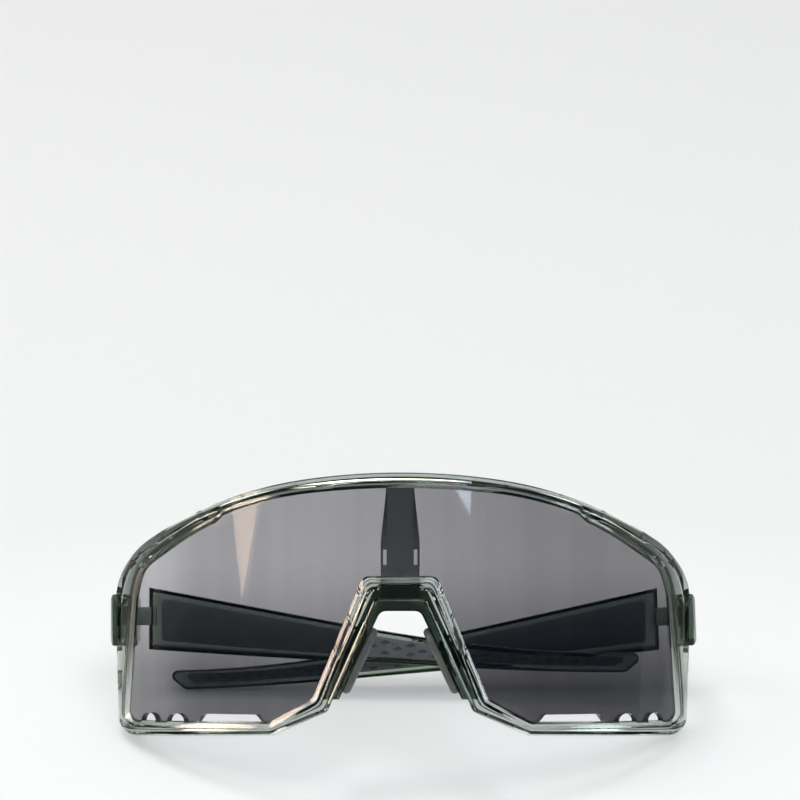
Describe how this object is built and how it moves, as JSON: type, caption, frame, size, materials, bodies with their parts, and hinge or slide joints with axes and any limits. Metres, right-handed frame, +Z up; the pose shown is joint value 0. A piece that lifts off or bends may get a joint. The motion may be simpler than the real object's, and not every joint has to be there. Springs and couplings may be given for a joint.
{
  "type": "wraparound sport sunglasses",
  "caption": "Wraparound sport sunglasses: one-piece shield lens in a crystal full-rim front, nose bridge with soft pads, and folding temples with rubber grips.",
  "frame": {"origin": "on the table, at the middle of the footprint of the folded glasses at rest", "axes": "+X across the face, to the right as seen from the front, which is the wearer's left; +Y from the lens towards the ears along the table; +Z up from the table. Left and right in the node names are as seen from the front. The front leans back against the folded temples"},
  "size_m": [0.1536, 0.0635, 0.0776],
  "materials": {
    "frame_crystal": "clear smoky grey-green, polished",
    "tinted_lens": "clear neutral grey tint, polished",
    "bridge_crystal": "clear smoky grey-green, polished",
    "nose_rubber": "soft translucent rubber, satin",
    "screw_steel": "bright turned steel",
    "temple_crystal": "clear smoky grey-green, polished",
    "grip_rubber": "dark grey rubber, satin"
  },
  "bodies": {
    "front": {"front_frame": "frame_crystal", "shield_lens": "tinted_lens", "nose_bridge": "bridge_crystal", "nose_pad_left": "nose_rubber", "nose_pad_right": "nose_rubber", "hinge_screw_left": "screw_steel", "hinge_screw_right": "screw_steel"},
    "left_temple": {"temple_left": "temple_crystal", "temple_grip_left": "grip_rubber"},
    "right_temple": {"temple_right": "temple_crystal", "temple_grip_right": "grip_rubber"}
  },
  "joints": [
    {"name": "left_hinge", "type": "hinge", "parent": "front", "child": "left_temple", "pos_m": [-0.07253, 0.02458, 0.02033], "axis": [0, 0.4849, 0.8746], "range_deg": [0, 91.6]},
    {"name": "right_hinge", "type": "hinge", "parent": "front", "child": "right_temple", "pos_m": [0.07227, 0.02458, 0.02033], "axis": [0.0358, -0.4846, -0.874], "range_deg": [0, 88.4]}
  ]
}
